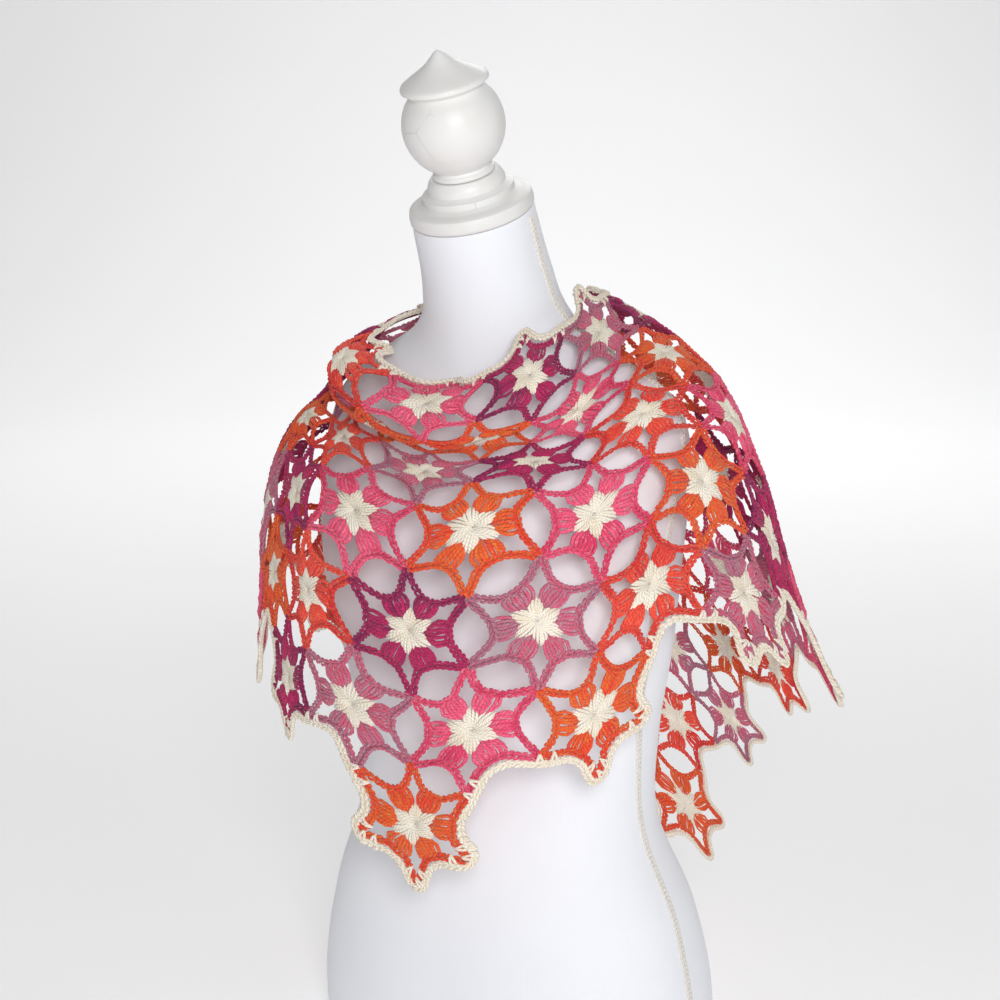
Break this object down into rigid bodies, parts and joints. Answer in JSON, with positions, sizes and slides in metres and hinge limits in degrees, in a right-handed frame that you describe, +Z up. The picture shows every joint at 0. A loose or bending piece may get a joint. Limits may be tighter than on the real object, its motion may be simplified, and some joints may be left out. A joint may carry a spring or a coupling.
{
  "type": "crocheted shawl on a limbless dress form",
  "caption": "Triangular shawl of star-flower crochet motifs with a scalloped cream band, draped with a rolled cowl collar over a white jersey dress form with a turned finial.",
  "frame": {"origin": "centre of the dress form's flat underside", "axes": "+Z up, -Y out of the front of the form, +X to its left-hand side as worn"},
  "size_m": [0.5172, 0.4106, 0.8857],
  "materials": {
    "white_jersey": "matt",
    "white_painted_wood": "satin",
    "yarn_cream": "matt",
    "yarn_dark_magenta": "matt",
    "yarn_mauve": "matt",
    "yarn_pink": "matt",
    "yarn_orange": "matt",
    "yarn_coral_red": "matt"
  },
  "bodies": {
    "root": {"form_body": "white_jersey", "form_neck_cap": "white_painted_wood", "form_finial": "white_painted_wood", "motif_row1_01": "yarn_orange", "motif_row2_01": "yarn_dark_magenta", "motif_row2_02": "yarn_mauve", "motif_row2_03": "yarn_pink", "motif_row2_04": "yarn_orange", "motif_row3_01": "yarn_pink", "motif_row3_02": "yarn_orange", "motif_row3_03": "yarn_coral_red", "motif_row3_04": "yarn_dark_magenta", "motif_row3_05": "yarn_mauve", "motif_row3_06": "yarn_coral_red", "motif_row3_07": "yarn_mauve", "motif_row4_01": "yarn_coral_red", "motif_row4_02": "yarn_orange", "motif_row4_03": "yarn_mauve", "motif_row4_04": "yarn_dark_magenta", "motif_row4_05": "yarn_pink", "motif_row4_06": "yarn_orange", "motif_row4_07": "yarn_pink", "motif_row4_08": "yarn_orange", "motif_row4_09": "yarn_dark_magenta", "motif_row4_10": "yarn_pink", "motifs_row5_01_03": "yarn_pink", "motif_row5_04": "yarn_dark_magenta", "motif_row5_05": "yarn_orange", "motif_row5_06": "yarn_coral_red", "motif_row5_07": "yarn_mauve", "motif_row5_08": "yarn_dark_magenta", "motif_row5_09": "yarn_coral_red", "motif_row5_10": "yarn_pink", "motifs_row5_11_13": "yarn_dark_magenta", "motifs_row6_01_02": "yarn_orange", "motifs_row6_03_05": "yarn_pink", "motif_row6_06": "yarn_dark_magenta", "motif_row6_07": "yarn_mauve", "motif_row6_08": "yarn_orange", "motif_row6_09": "yarn_orange", "motif_row6_10": "yarn_pink", "motif_row6_11": "yarn_orange", "motifs_row6_12_14": "yarn_coral_red", "motifs_row6_15_16": "yarn_orange", "motifs_row7_01_02": "yarn_pink", "motifs_row7_03_04": "yarn_coral_red", "motifs_row7_05_07": "yarn_orange", "motif_row7_08": "yarn_dark_magenta", "motif_row7_09": "yarn_coral_red", "motif_row7_10": "yarn_pink", "motif_row7_11": "yarn_dark_magenta", "motif_row7_12": "yarn_mauve", "motifs_row7_13_15": "yarn_dark_magenta", "motifs_row7_16_17": "yarn_coral_red", "motifs_row7_18_19": "yarn_coral_red", "band_neck_edge": "yarn_cream", "band_hem_left_wing": "yarn_cream", "band_hem_right_wing": "yarn_cream"}
  },
  "joints": []
}
